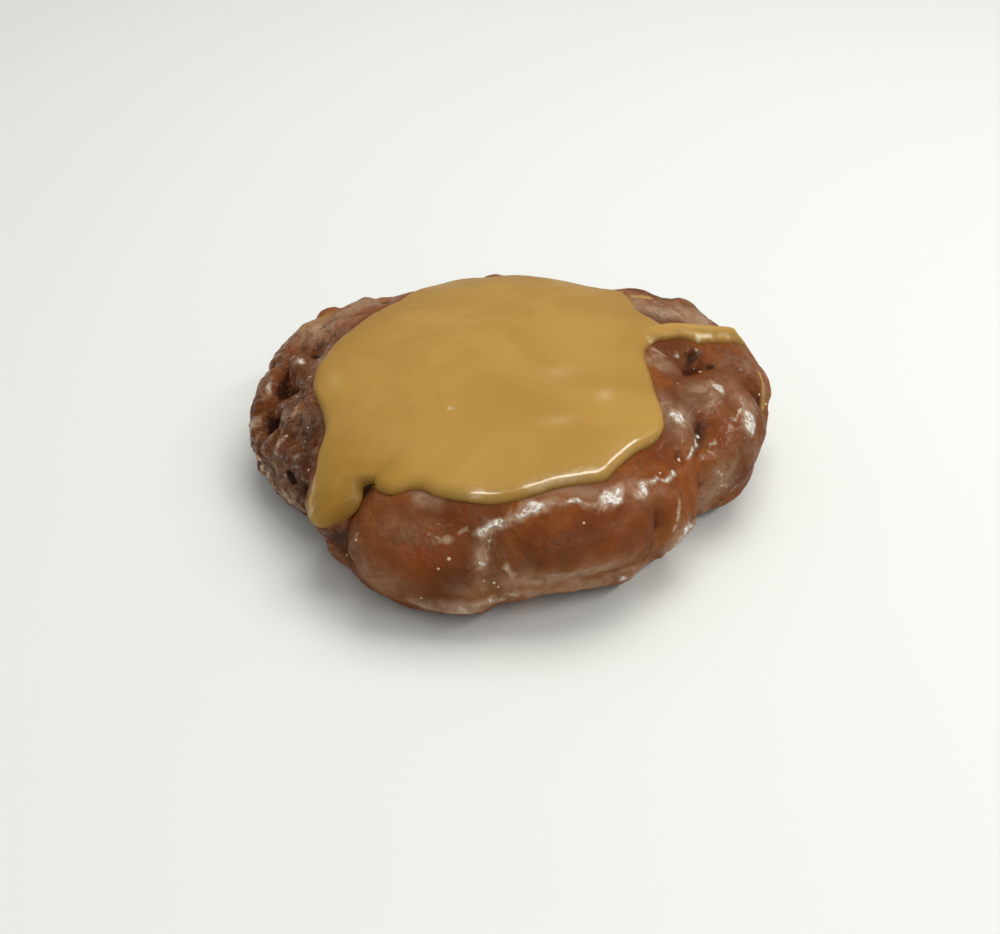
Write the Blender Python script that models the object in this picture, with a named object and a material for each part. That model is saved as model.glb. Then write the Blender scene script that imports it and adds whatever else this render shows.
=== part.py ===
"""A fried fritter, 107 mm long and 96 mm deep, with a pool of caramel icing on top.

The dough is one lumpy solid with a flat base. The icing is a second solid that lies on it: a pool with a
short tongue at the left of the front, and a thin strand that runs over the right shoulder.

The front is -Y, the right is +X and the base is at Z = 0. A place on the dough is (azimuth, way down): the
azimuth is in degrees anticlockwise from +X, and the way down is 0 at the middle of the top, nearly 0.5 at
the widest line and 1 at the middle of the base. Lengths are in millimetres until a mesh is made.
"""

import bmesh
import bpy
import numpy as np
from mathutils import Vector, noise
from mathutils.geometry import delaunay_2d_cdt

MM = 0.001

# The dough's form: its reach from the middle and its shoulder's height, each at even turns from +X.
REACHES = (49.5, 56.3, 56.2, 51.0, 52.0, 49.5, 51.5, 54.0, 51.0, 44.0, 45.0, 45.5, 42.8, 41.5, 40.5, 42.5)
SHOULDERS = (28.0, 28.5, 28.0, 27.5, 26.5, 26.5, 27.0, 28.0)
CROWN = 29.0
WIDEST_AT = 12.5
TOP_POWERS = (3.4, 2.1)
FOOT_POWER = 2.2
FOOT_INSET = 12.0
BASE_TRIM = 0.6

# Its crust: how craggy it is at even turns from +X, and the sizes of what the frying raised.
CRAGGY = (0.22, 0.22, 0.35, 0.4, 0.4, 0.45, 0.5, 0.5, 0.22, 0.12, 0.12, 0.22)
SWELL_SIZE, SWELL_HEIGHT = 21.0, 1.5
KNOB_SIZE, KNOB_HEIGHT = 10.5, 3.4
KNOB_WARP = 4.0
KNOB_EDGE = 0.5
KNOB_LEVEL = 0.6
CRUMPLE_SIZE, CRUMPLE_HEIGHT = 5.0, 1.1
SEED_PLACE = Vector((31.0, 7.0, 12.0))
SEED = 5

# Where the crust is calmer: under the icing, over the middle of the top, and towards the base.
ICED_CALM = 0.85
ICED_CALM_SPAN = (-5.0, 2.5)
ICED_SWELL = 0.3
TOP_CRAGS = 0.45
TOP_CALM_TO = 0.30
BASE_CALM_SPAN = (0.56, 0.64)

# Bumps (height above 0) and hollows of the crust, each with its half lengths and the turn of its long way
# from level towards straight down.
CRUST_FORMS = {
    "front_dimple": dict(at=(256, 0.41), height=-1.0, half=(5.0, 3.6), turn=10),
    "front_valley_left": dict(at=(265, 0.43), height=-0.9, half=(8.0, 2.4), turn=88),
    "front_valley_mid": dict(at=(270, 0.50), height=-1.0, half=(7.0, 2.4), turn=86),
    "front_fold": dict(at=(275, 0.46), height=-1.2, half=(8.0, 2.6), turn=118),
    "front_tuck": dict(at=(291, 0.515), height=-1.2, half=(15.0, 2.2), turn=-9),
    "front_tuck_lip": dict(at=(292, 0.56), height=0.8, half=(12.0, 3.2), turn=-8),
    "front_right_foot": dict(at=(322, 0.54), height=1.0, half=(8.0, 5.0), turn=0),
    "front_roll": dict(at=(290, 0.43), height=1.0, half=(15.0, 6.0), turn=0),
    "front_low_lip": dict(at=(262, 0.555), height=0.9, half=(10.0, 2.6), turn=0),
    "roll_end": dict(at=(312, 0.48), height=-1.2, half=(10.0, 2.6), turn=94),
    "lobe_notch": dict(at=(334, 0.54), height=-4.2, half=(10.0, 3.2), turn=84),
    "lobe_dent": dict(at=(340, 0.42), height=-1.3, half=(7.0, 4.0), turn=60),
    "right_lobe": dict(at=(349, 0.50), height=1.6, half=(6.5, 9.0), turn=0),
    "right_crater": dict(at=(12, 0.306), height=-2.2, half=(6.0, 3.2), turn=-20),
    "crater_brow": dict(at=(21, 0.285), height=1.0, half=(5.0, 2.4), turn=10),
    "right_pit": dict(at=(345, 0.372), height=-1.4, half=(4.6, 2.8), turn=30),
    "right_nick": dict(at=(331, 0.378), height=-0.9, half=(3.6, 2.2), turn=-30),
    "right_plateau": dict(at=(357, 0.34), height=0.9, half=(8.0, 5.0), turn=0),
    "right_edge_groove": dict(at=(7, 0.45), height=-2.2, half=(6.0, 2.2), turn=80),
    "right_shoulder": dict(at=(15, 0.42), height=1.2, half=(6.0, 6.0), turn=0),
    "back_right_knob": dict(at=(44, 0.40), height=2.0, half=(4.6, 4.0), turn=0),
    "back_right_rise": dict(at=(53, 0.37), height=1.6, half=(6.0, 5.0), turn=0),
    "back_right_hollow": dict(at=(54, 0.50), height=-2.6, half=(4.0, 7.0), turn=0),
    "back_fold": dict(at=(77, 0.50), height=-2.6, half=(10.0, 2.4), turn=72),
    "back_roll": dict(at=(90, 0.46), height=1.4, half=(9.0, 7.0), turn=0),
    "back_crease": dict(at=(104, 0.49), height=-3.2, half=(11.0, 2.6), turn=96),
    "back_pit": dict(at=(116, 0.47), height=-2.4, half=(4.0, 3.0), turn=0),
    "back_left_bead": dict(at=(134, 0.385), height=1.6, half=(3.2, 3.2), turn=0),
    "back_left_knob": dict(at=(143, 0.405), height=2.4, half=(5.0, 4.4), turn=0),
    "back_left_point": dict(at=(151, 0.42), height=3.0, half=(3.2, 4.0), turn=0),
    "back_left_groove": dict(at=(149, 0.47), height=-3.0, half=(9.0, 2.2), turn=88),
    "left_top_dent": dict(at=(162, 0.352), height=-1.7, half=(4.4, 3.2), turn=0),
    "left_brow": dict(at=(169, 0.362), height=1.2, half=(4.0, 2.4), turn=0),
    "left_hollow": dict(at=(176, 0.392), height=-2.6, half=(5.0, 3.8), turn=20),
    "left_bulge": dict(at=(181, 0.50), height=2.4, half=(7.0, 5.0), turn=0),
    "left_crevice": dict(at=(186, 0.438), height=-3.4, half=(5.4, 2.8), turn=10),
    "left_ridge": dict(at=(190, 0.42), height=1.8, half=(8.0, 2.2), turn=74),
    "left_scoop": dict(at=(197, 0.40), height=-2.2, half=(4.6, 3.6), turn=30),
    "left_flake": dict(at=(187, 0.53), height=1.2, half=(3.0, 2.6), turn=0),
    "left_pit_low": dict(at=(201, 0.487), height=-2.2, half=(4.6, 2.8), turn=40),
    "left_knuckle": dict(at=(204, 0.455), height=1.4, half=(4.0, 3.0), turn=0),
    "tongue_side": dict(at=(208, 0.50), height=-1.8, half=(7.0, 2.4), turn=80),
    "tongue_groove": dict(at=(229, 0.44), height=-3.4, half=(11.0, 2.4), turn=96),
    "tongue_pit": dict(at=(226, 0.50), height=-1.2, half=(4.0, 3.4), turn=0),
    "front_left_roll": dict(at=(240, 0.43), height=1.3, half=(8.0, 8.0), turn=0),
}
# The foot's own hollows, which reach down to the base.
FOOT_FORMS = {
    "front_undercut": dict(at=(280, 0.615), height=-2.8, half=(11.0, 5.0), turn=0),
}

# The icing's outline, as places on the dough: the right side, the back, the left side, the tongue, the front.
POOL_OUTLINE = (
    (1, 0.232), (14, 0.218), (21, 0.240), (27, 0.270), (34, 0.268), (41, 0.268), (48, 0.302), (57, 0.337),
    (68, 0.345), (77, 0.362), (88, 0.345), (99, 0.342), (111, 0.364), (121, 0.352), (132, 0.310),
    (145, 0.295), (159, 0.299), (171, 0.315), (182, 0.336), (195, 0.353), (204, 0.378), (209, 0.412),
    (213, 0.430), (215, 0.454), (215, 0.478), (219, 0.495), (224, 0.480), (228, 0.446), (230, 0.406),
    (229, 0.376), (233, 0.374), (239, 0.369), (244, 0.344), (250, 0.350), (262, 0.353), (272, 0.348),
    (285, 0.334), (293, 0.338), (300, 0.345), (306, 0.334), (316, 0.326), (326, 0.331), (334, 0.321),
    (342, 0.291), (351, 0.255),
)
EDGE_THICKNESS = (2.0, 2.0, 1.8, 1.6, 1.6, 1.7, 2.0, 2.2, 2.8, 3.1, 3.1, 2.6)
POOL_THICKNESS = 2.4
FULL_AFTER = 14.0
BEAD_SPAN = 1.15
BEAD_RINGS = (0.25, 0.8, 1.6, 2.7)
RING_ROOM = 0.93
LATTICE = 3.1
OUTLINE_STEP = 1.7
ICING_SINK = 1.4
SEAM_GAP = 0.3

# The strand: places on the dough with its radius at each.
STRAND = (
    (26, 0.200, 1.6), (26, 0.245, 2.2), (25, 0.290, 2.25), (25, 0.335, 2.1), (26, 0.380, 2.0),
    (28, 0.415, 1.7), (28, 0.438, 1.2), (25, 0.452, 1.0), (21, 0.462, 1.0), (18, 0.472, 1.15),
    (16, 0.480, 0.95),
)
STRAND_LIFT = 0.25
STRAND_EVENING = (1, 2, 3, 4, 3, 2, 1)
STRAND_STEP = 1.6
STRAND_BEVEL_STEPS = 3

# How finely the forms are made.
PROFILE_STEPS = 240
DOWN_STEPS = 241
AROUND_STEPS = 360
SPHERE_LEVELS = 7
DOUGH_TRIANGLES = 9200
ICING_TRIANGLES = 3600
MAP_SCALE = 118.0
CURVE_SHARES = 24
SAME_PLACE = 0.004
ON_THE_BASE = 0.01
SMOOTH_UNDER = 60.0

DOUGH_FINISH = dict(name="fried_crust", colour=(0.19, 0.062, 0.022, 1.0), roughness=0.35)
ICING_FINISH = dict(name="caramel_icing", colour=(0.48, 0.28, 0.075, 1.0), roughness=0.25)


def clear_scene():
    for old in list(bpy.data.objects):
        bpy.data.objects.remove(old, do_unlink=True)


def material(name, colour, roughness):
    made = bpy.data.materials.new(name)
    made.use_nodes = True
    shader = made.node_tree.nodes["Principled BSDF"]
    shader.inputs["Base Color"].default_value = colour
    shader.inputs["Roughness"].default_value = roughness
    shader.inputs["Metallic"].default_value = 0.0
    made.diffuse_color = colour
    return made


def smoothstep(low, high, value):
    share = np.clip((value - low) / (high - low), 0.0, 1.0)
    return share * share * (3.0 - 2.0 * share)


def around(values, azimuths):
    """Reads a smooth closed curve through values set at even turns."""
    waves = np.fft.rfft(values) / len(values)
    waves[1 : (len(values) + 1) // 2] *= 2.0
    turns = np.exp(1j * np.radians(azimuths)[:, None] * np.arange(len(waves)))
    return (turns @ waves).real


def profile(reach, shoulder):
    """The dough's side from the middle of the top to the middle of the base, at even lengths."""
    turn = np.linspace(0.0, np.pi / 2.0, PROFILE_STEPS)
    fall, rise = np.sin(turn), np.clip(np.cos(turn), 0.0, 1.0)
    top_r = reach * fall ** (2.0 / TOP_POWERS[0])
    level = CROWN + (shoulder - CROWN) * (top_r / reach) ** 2
    top_z = WIDEST_AT + (level - WIDEST_AT) * rise ** (2.0 / TOP_POWERS[1])
    foot_r = reach - FOOT_INSET * (1.0 - rise ** (2.0 / FOOT_POWER))
    foot_z = WIDEST_AT - (WIDEST_AT + BASE_TRIM) * fall ** (2.0 / FOOT_POWER)
    r = np.concatenate([top_r, foot_r[1:], [0.0]])
    z = np.concatenate([top_z, foot_z[1:], [-BASE_TRIM]])
    length = np.concatenate([[0.0], np.cumsum(np.hypot(np.diff(r), np.diff(z)))])
    even = np.linspace(0.0, length[-1], DOWN_STEPS)
    return np.interp(even, length, r), np.interp(even, length, z)


def smooth_form():
    """The dough's form without its crust: a table of places, and one of the ways out of it."""
    azimuths = np.arange(AROUND_STEPS) * 360.0 / AROUND_STEPS
    sides = [profile(*pair) for pair in zip(around(REACHES, azimuths), around(SHOULDERS, azimuths))]
    r, z = (np.array(table) for table in zip(*sides))
    turn = np.radians(azimuths)[:, None]
    places = np.stack([r * np.cos(turn), r * np.sin(turn), z], axis=-1)
    along = np.roll(places, -1, axis=0) - np.roll(places, 1, axis=0)
    down = np.gradient(places, axis=1)
    outward = np.cross(down, along)
    outward[:, 0], outward[:, -1] = (0.0, 0.0, 1.0), (0.0, 0.0, -1.0)
    outward /= np.linalg.norm(outward, axis=-1, keepdims=True)
    return places, outward


def read_table(table, azimuths, downs):
    a = (np.asarray(azimuths) % 360.0) * AROUND_STEPS / 360.0
    d = np.clip(np.asarray(downs), 0.0, 1.0) * (DOWN_STEPS - 1)
    a0, d0 = np.floor(a).astype(int), np.minimum(np.floor(d).astype(int), DOWN_STEPS - 2)
    fa, fd = (a - a0)[..., None], (d - d0)[..., None]
    a0, a1 = a0 % AROUND_STEPS, (a0 + 1) % AROUND_STEPS
    near = table[a0, d0] * (1.0 - fd) + table[a0, d0 + 1] * fd
    far = table[a1, d0] * (1.0 - fd) + table[a1, d0 + 1] * fd
    return near * (1.0 - fa) + far * fa


def on_map(azimuths, downs):
    """Places laid flat round the middle of the top, so that lengths on the map are nearly true."""
    turn = np.radians(azimuths)
    return np.stack([np.cos(turn), np.sin(turn)], axis=-1) * (np.asarray(downs) * MAP_SCALE)[..., None]


def off_map(flat):
    azimuths = np.degrees(np.arctan2(flat[:, 1], flat[:, 0]))
    return azimuths, np.hypot(flat[:, 0], flat[:, 1]) / MAP_SCALE


def curve_through(points, step, closed):
    """Points at even steps along a Catmull-Rom curve through the given ones."""
    points = np.asarray(points, float)
    if closed:
        padded = np.concatenate([points[-1:], points, points[:2]])
    else:
        padded = np.concatenate([2 * points[:1] - points[1:2], points, 2 * points[-1:] - points[-2:-1]])
    share = np.linspace(0.0, 1.0, CURVE_SHARES, endpoint=False)[:, None]
    fine = []
    for p0, p1, p2, p3 in zip(padded, padded[1:], padded[2:], padded[3:]):
        bend = 2 * p0 - 5 * p1 + 4 * p2 - p3
        fine.append(0.5 * (2 * p1 + (p2 - p0) * share + bend * share**2 + (3 * p1 - p0 - 3 * p2 + p3) * share**3))
    fine = np.concatenate([*fine, points[:1] if closed else points[-1:]])
    length = np.concatenate([[0.0], np.cumsum(np.linalg.norm(np.diff(fine[:, :2], axis=0), axis=1))])
    even = np.linspace(0.0, length[-1], max(int(length[-1] / step), 3) + 1)
    even = even[:-1] if closed else even
    return np.stack([np.interp(even, length, column) for column in fine.T], axis=1)


def inset(outline, flat):
    """How far inside the closed outline each flat point is: below 0 outside."""
    start, side = outline, np.roll(outline, -1, axis=0) - outline
    nearest = np.full(len(flat), np.inf)
    crossings = np.zeros(len(flat), int)
    for (x0, y0), (dx, dy) in zip(start, side):
        across, up = flat[:, 0] - x0, flat[:, 1] - y0
        share = np.clip((across * dx + up * dy) / (dx * dx + dy * dy), 0.0, 1.0)
        nearest = np.minimum(nearest, np.hypot(across - share * dx, up - share * dy))
        if dy != 0.0:
            level = up / dy
            crossings += (level >= 0.0) & (level < 1.0) & (across < level * dx)
    return np.where(crossings % 2 == 1, nearest, -nearest)


def height_of(forms, places, outward_table, place_table):
    """The height that named bumps and hollows add at each place."""
    total = np.zeros(len(places))
    for form in forms.values():
        azimuth, down = form["at"]
        centre = read_table(place_table, [azimuth], [down])[0]
        outward = read_table(outward_table, [azimuth], [down])[0]
        level = np.cross((0.0, 0.0, 1.0), outward)
        level /= np.linalg.norm(level)
        steep = np.cross(level, -outward)
        turn = np.radians(form["turn"])
        away = places - centre
        long_way = away @ (np.cos(turn) * level + np.sin(turn) * steep) / form["half"][0]
        short_way = away @ (np.cos(turn) * steep - np.sin(turn) * level) / form["half"][1]
        through = away @ outward / max(form["half"])
        total += form["height"] * np.exp(-(long_way**2) - short_way**2 - through**2)
    return total


def fried_relief(places):
    """The crust's own unevenness at each place: swells, knobs with creases between them, and crumples."""
    swells, knobs, crumples = (np.empty(len(places)) for _ in range(3))
    for i, place in enumerate(places):
        spot = Vector(place) + SEED_PLACE
        swells[i] = noise.noise(spot / SWELL_SIZE)
        warped = spot + KNOB_WARP * noise.noise_vector(spot / KNOB_SIZE)
        near, second = noise.voronoi(warped / KNOB_SIZE)[0][:2]
        knobs[i] = min(second - near, KNOB_EDGE) / KNOB_EDGE
        crumples[i] = noise.noise(spot / CRUMPLE_SIZE)
    knobs = knobs * (2.0 - knobs) - KNOB_LEVEL
    return SWELL_HEIGHT * swells, KNOB_HEIGHT * knobs + CRUMPLE_HEIGHT * crumples


class Dough:
    """The crust's surface, for the dough's own mesh and for the icing that lies on it."""

    def __init__(self, pool):
        self.place_table, self.outward_table = smooth_form()
        self.pool = pool

    def surface(self, azimuths, downs):
        places = read_table(self.place_table, azimuths, downs)
        outward = read_table(self.outward_table, azimuths, downs)
        outward /= np.linalg.norm(outward, axis=-1, keepdims=True)
        swells, crags = fried_relief(places)
        iced = smoothstep(*ICED_CALM_SPAN, inset(self.pool, on_map(azimuths, downs)))
        bare = 1.0 - ICED_CALM * iced
        upright = TOP_CRAGS + (1.0 - TOP_CRAGS) * smoothstep(0.0, TOP_CALM_TO, downs)
        standing = 1.0 - smoothstep(*BASE_CALM_SPAN, downs)
        craggy = around(CRAGGY, azimuths) * bare * upright
        height = swells * np.minimum(bare + ICED_SWELL, 1.0) + crags * craggy
        height += height_of(CRUST_FORMS, places, self.outward_table, self.place_table)
        height = height * standing + height_of(FOOT_FORMS, places, self.outward_table, self.place_table)
        return places + outward * height[:, None], outward


def mesh_object(name, points, faces, finish):
    mesh = bpy.data.meshes.new(name)
    mesh.from_pydata((np.asarray(points) * MM).tolist(), [], faces)
    made = bpy.data.objects.new(name, mesh)
    bpy.context.scene.collection.objects.link(made)
    made.data.materials.append(finish)
    return made


def apply_modifiers(made):
    """Replaces the object's mesh by what its modifiers make of it."""
    graph = bpy.context.evaluated_depsgraph_get()
    mesh = bpy.data.meshes.new_from_object(made.evaluated_get(graph), depsgraph=graph)
    made.modifiers.clear()
    made.data = mesh


def thin_out(made, triangles):
    thinner = made.modifiers.new("thin_out", "DECIMATE")
    thinner.ratio = triangles / sum(len(face.vertices) - 2 for face in made.data.polygons)
    thinner.use_collapse_triangulate = True
    apply_modifiers(made)


def rework(made, work):
    """Runs work(bm) on the object's mesh."""
    bm = bmesh.new()
    bm.from_mesh(made.data)
    work(bm)
    bm.to_mesh(made.data)
    bm.free()


def cut_base(bm):
    """Cuts the dough flat at Z = 0 and closes it there."""
    everything = bm.verts[:] + bm.edges[:] + bm.faces[:]
    cut = bmesh.ops.bisect_plane(bm, geom=everything, plane_co=(0, 0, 0), plane_no=(0, 0, -1), clear_outer=True)
    rim = [part for part in cut["geom_cut"] if isinstance(part, bmesh.types.BMEdge)]
    bmesh.ops.edgeloop_fill(bm, edges=rim)
    for vert in bm.verts:
        if vert.co.z < ON_THE_BASE * MM:
            vert.co.z = 0.0
    bmesh.ops.recalc_face_normals(bm, faces=bm.faces[:])


def swell_by_gap(bm):
    """Moves the mesh outwards by the gap that the icing keeps to the dough."""
    bm.normal_update()
    moves = [vert.normal * SEAM_GAP * MM for vert in bm.verts]
    for vert, move in zip(bm.verts, moves):
        vert.co += move


def clean_up(bm):
    bmesh.ops.remove_doubles(bm, verts=bm.verts[:], dist=SAME_PLACE * MM)
    bmesh.ops.dissolve_degenerate(bm, edges=bm.edges[:], dist=SAME_PLACE * MM)
    bmesh.ops.triangulate(bm, faces=bm.faces[:])


def make_dough(dough, finish):
    bm = bmesh.new()
    bmesh.ops.create_icosphere(bm, subdivisions=SPHERE_LEVELS, radius=1.0)
    directions = np.array([vert.co[:] for vert in bm.verts])
    faces = [[vert.index for vert in face.verts] for face in bm.faces]
    bm.free()
    azimuths = np.degrees(np.arctan2(directions[:, 1], directions[:, 0]))
    downs = np.arccos(np.clip(directions[:, 2], -1.0, 1.0)) / np.pi
    points, _ = dough.surface(azimuths, downs)
    made = mesh_object("dough", points, faces, finish)
    thin_out(made, DOUGH_TRIANGLES)
    rework(made, cut_base)
    made.data.shade_smooth()
    made.data.set_sharp_from_angle(angle=np.radians(SMOOTH_UNDER))
    return made


def pool_map(pool):
    """The pool's flat triangles, with their points' distances inside its outline."""
    rings = []
    ahead = np.roll(pool, -1, axis=0) - np.roll(pool, 1, axis=0)
    inward = np.stack([-ahead[:, 1], ahead[:, 0]], axis=1) / np.linalg.norm(ahead, axis=1)[:, None]
    for depth in BEAD_RINGS:
        ring = pool + inward * depth
        rings.append(ring[inset(pool, ring) > RING_ROOM * depth])
    low, high = pool.min(axis=0), pool.max(axis=0)
    rows = np.arange(low[1], high[1], LATTICE * np.sqrt(0.75))
    lattice = np.array([
        (x + LATTICE / 2.0 * (row % 2), y)
        for row, y in enumerate(rows)
        for x in np.arange(low[0], high[0], LATTICE)
    ])
    lattice = lattice[inset(pool, lattice) > BEAD_RINGS[-1] + LATTICE / 3.0]
    flat = np.concatenate([pool, *rings, lattice])
    border = [(i, (i + 1) % len(pool)) for i in range(len(pool))]
    inside_only = 1
    found = delaunay_2d_cdt([Vector(point) for point in flat], border, [], inside_only, SAME_PLACE)
    return np.array([point[:] for point in found[0]]), [tuple(face) for face in found[2]]


def make_pool(dough, finish):
    flat, faces = pool_map(dough.pool)
    azimuths, downs = off_map(flat)
    surface, outward = dough.surface(azimuths, downs)
    depth = np.maximum(inset(dough.pool, flat), 0.0)
    edge = around(EDGE_THICKNESS, azimuths)
    bead = 1.0 - np.clip(depth / (BEAD_SPAN * edge), 0.0, 1.0)
    thickness = edge + (POOL_THICKNESS - edge) * smoothstep(0.0, FULL_AFTER, depth)
    top = surface + outward * (thickness * np.sqrt(1.0 - bead * bead))[:, None]
    bottom = surface - outward * ICING_SINK
    count = len(flat)
    sides = {}
    for a, b, c in faces:
        for edge_ends in ((a, b), (b, c), (c, a)):
            sides[edge_ends] = True
    walls = [(a, a + count, b + count, b) for a, b in sides if (b, a) not in sides]
    below = [(c + count, b + count, a + count) for a, b, c in faces]
    return mesh_object("icing", np.concatenate([top, bottom]), faces + below + walls, finish)


def evened(points):
    """Averages each point with its neighbours, so that the strand bridges the crust's small hollows."""
    weights = np.array(STRAND_EVENING) / sum(STRAND_EVENING)
    reach = len(weights) // 2
    padded = np.pad(points, ((reach, reach), (0, 0)), mode="reflect", reflect_type="odd")
    return np.stack([np.convolve(column, weights, mode="valid") for column in padded.T], axis=1)


def make_strand(dough, finish):
    """A tapered tube that lies on the dough, from inside the pool to the right side."""
    azimuths, downs, radii = np.array(STRAND).T
    path = curve_through(np.column_stack([on_map(azimuths, downs), radii]), STRAND_STEP, closed=False)
    azimuths, downs = off_map(path[:, :2])
    surface, outward = dough.surface(azimuths, downs)
    centres = evened(surface + outward * (path[:, 2] * STRAND_LIFT)[:, None])
    curve = bpy.data.curves.new("strand", "CURVE")
    curve.dimensions = "3D"
    curve.bevel_depth = MM
    curve.bevel_resolution = STRAND_BEVEL_STEPS
    curve.use_fill_caps = True
    spline = curve.splines.new("POLY")
    spline.points.add(len(centres) - 1)
    for point, centre, radius in zip(spline.points, centres * MM, path[:, 2]):
        point.co = (*centre, 1.0)
        point.radius = radius
    made = bpy.data.objects.new("strand", curve)
    bpy.context.scene.collection.objects.link(made)
    graph = bpy.context.evaluated_depsgraph_get()
    mesh = bpy.data.meshes.new_from_object(made.evaluated_get(graph), depsgraph=graph)
    bpy.data.objects.remove(made)
    tube = bpy.data.objects.new("strand_tube", mesh)
    bpy.context.scene.collection.objects.link(tube)
    tube.data.materials.clear()
    tube.data.materials.append(finish)
    rework(tube, clean_up)
    return tube


def combine(made, other, operation):
    joint = made.modifiers.new(operation.lower(), "BOOLEAN")
    joint.operation = operation
    joint.solver = "EXACT"
    joint.object = other
    apply_modifiers(made)
    bpy.data.objects.remove(other)


def make_icing(dough, body, finish):
    made = make_pool(dough, finish)
    combine(made, make_strand(dough, finish), "UNION")
    thin_out(made, ICING_TRIANGLES)
    bed = bpy.data.objects.new("icing_bed", body.data.copy())
    bpy.context.scene.collection.objects.link(bed)
    rework(bed, swell_by_gap)
    combine(made, bed, "DIFFERENCE")
    rework(made, clean_up)
    made.data.shade_smooth()
    made.data.set_sharp_from_angle(angle=np.radians(SMOOTH_UNDER))
    return made


def stand_at_middle(pieces):
    """Hangs the pieces on one empty, so that the middle of their box is over the origin."""
    corners = np.array([corner[:] for piece in pieces for corner in piece.bound_box])
    middle = (corners.min(axis=0) + corners.max(axis=0)) / 2.0
    stand = bpy.data.objects.new("fritter", None)
    stand.location = (-middle[0], -middle[1], 0.0)
    bpy.context.scene.collection.objects.link(stand)
    for piece in pieces:
        piece.parent = stand


def main():
    clear_scene()
    noise.seed_set(SEED)
    outline = curve_through(on_map(*np.array(POOL_OUTLINE).T), OUTLINE_STEP, closed=True)
    dough = Dough(outline)
    body = make_dough(dough, material(**DOUGH_FINISH))
    icing = make_icing(dough, body, material(**ICING_FINISH))
    stand_at_middle([body, icing])
    for piece in (body, icing):
        print(piece.name, len(piece.data.polygons), "faces")


main()
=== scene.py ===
import math

import bpy
import numpy as np
from mathutils import Matrix, Vector, noise
from mathutils.bvhtree import BVHTree


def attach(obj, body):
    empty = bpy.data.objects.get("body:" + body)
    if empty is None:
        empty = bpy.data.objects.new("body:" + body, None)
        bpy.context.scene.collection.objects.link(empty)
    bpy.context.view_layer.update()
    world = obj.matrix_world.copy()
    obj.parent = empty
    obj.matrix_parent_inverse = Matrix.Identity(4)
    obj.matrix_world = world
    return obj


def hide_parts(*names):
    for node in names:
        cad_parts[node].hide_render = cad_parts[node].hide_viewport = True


mm = 0.001

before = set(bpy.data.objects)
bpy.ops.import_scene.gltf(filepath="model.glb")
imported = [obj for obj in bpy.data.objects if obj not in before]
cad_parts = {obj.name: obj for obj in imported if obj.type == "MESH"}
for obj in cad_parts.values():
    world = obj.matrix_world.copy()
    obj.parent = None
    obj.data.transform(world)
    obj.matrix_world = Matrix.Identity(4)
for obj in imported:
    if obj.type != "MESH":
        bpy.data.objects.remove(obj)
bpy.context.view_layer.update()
scene = bpy.context.scene
print("frame loaded:", sorted(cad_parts))


# the view and the room

view = dict(place=(-2.36, -211.85, 168.0), tilt=51.84, roll=1.78, lens=46.944, sensor=36.0,
            width=1000, height=934, nearest=10.0)
room = dict(floorSize=3.0, floorColour=(0.80, 0.81, 0.765), floorShade=0.97, floorGrain=260.0,
            skyColour=(0.95, 0.98, 1.0), skyStrength=0.40)
floorSockets = {"Roughness": 0.7, "Specular IOR Level": 0.2}
# the soft lamps light the forms, and the long window only leaves its glints on the gloss
lamps = {
    "softOverhead": dict(place=(120, 175, 640), toward=(120, 175, 0), size=(520, 460), turn=0, power=3.07,
                         colour=(1.0, 0.985, 0.95), paintedGlints=False),
    "frontFill": dict(place=(300, -290, 560), toward=(300, -290, 0), size=(960, 30), turn=45, power=2.2,
                      colour=(0.95, 0.98, 1.0), paintedGlints=False),
    "frontWindow": dict(place=(330, -215, 350), toward=(0, 0, 20), size=(1140, 130), turn=0, power=6.0,
                        colour=(1.0, 0.972, 0.91), paintedGlints=True),
}


def turnAbout(axis, degrees):
    return Matrix.Rotation(math.radians(degrees), 4, axis)


bpy.ops.object.select_all(action="DESELECT")
bpy.ops.object.camera_add()
camera = bpy.context.object
camera.name = "photoView"
camera.data.sensor_width = view["sensor"]
camera.data.lens = view["lens"]
camera.data.clip_start = view["nearest"] * mm
turned = turnAbout("X", view["tilt"]) @ turnAbout("Z", view["roll"])
eye = Vector(view["place"]) * mm
camera.matrix_world = Matrix.Translation(eye) @ turned
scene.camera = camera
scene.view_settings.view_transform = "Standard"

sky = bpy.data.worlds.new("softRoom")
sky.use_nodes = True
sky.node_tree.nodes["Background"].inputs["Color"].default_value = (*room["skyColour"], 1.0)
sky.node_tree.nodes["Background"].inputs["Strength"].default_value = room["skyStrength"]
scene.world = sky

for name, lamp in lamps.items():
    spot, target = Vector(lamp["place"]) * mm, Vector(lamp["toward"]) * mm
    aim = (target - spot).to_track_quat("-Z", "Y").to_matrix().to_4x4() @ turnAbout("Z", lamp["turn"])
    bpy.ops.object.light_add(type="AREA", location=spot, rotation=aim.to_euler())
    light = bpy.context.object
    light.name = name
    light.data.shape = "RECTANGLE"
    light.data.size, light.data.size_y = (side * mm for side in lamp["size"])
    light.data.energy = lamp["power"]
    light.data.color = lamp["colour"]
    light.visible_glossy = lamp["paintedGlints"]
    light.visible_diffuse = not lamp["paintedGlints"]

bpy.ops.mesh.primitive_plane_add(size=room["floorSize"], location=(0, 0, 0))
floor = bpy.context.object
floor.name = "floor"
print("camera, lamps and floor placed")


# small helpers for materials

def newMaterial(name, sockets):
    # the sockets are those that stay the same all over the surface
    material = bpy.data.materials.new(name)
    material.use_nodes = True
    shader = material.node_tree.nodes["Principled BSDF"]
    for socket, value in sockets.items():
        shader.inputs[socket].default_value = value
    return material, material.node_tree, shader


def wire(tree, value, socket):
    # a number or a colour is set on the socket, anything else is linked to it
    if isinstance(value, bpy.types.NodeSocket):
        tree.links.new(value, socket)
    elif isinstance(value, tuple) and len(value) == 3 and socket.type == "RGBA":
        socket.default_value = (*value, 1.0)
    else:
        socket.default_value = value


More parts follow.
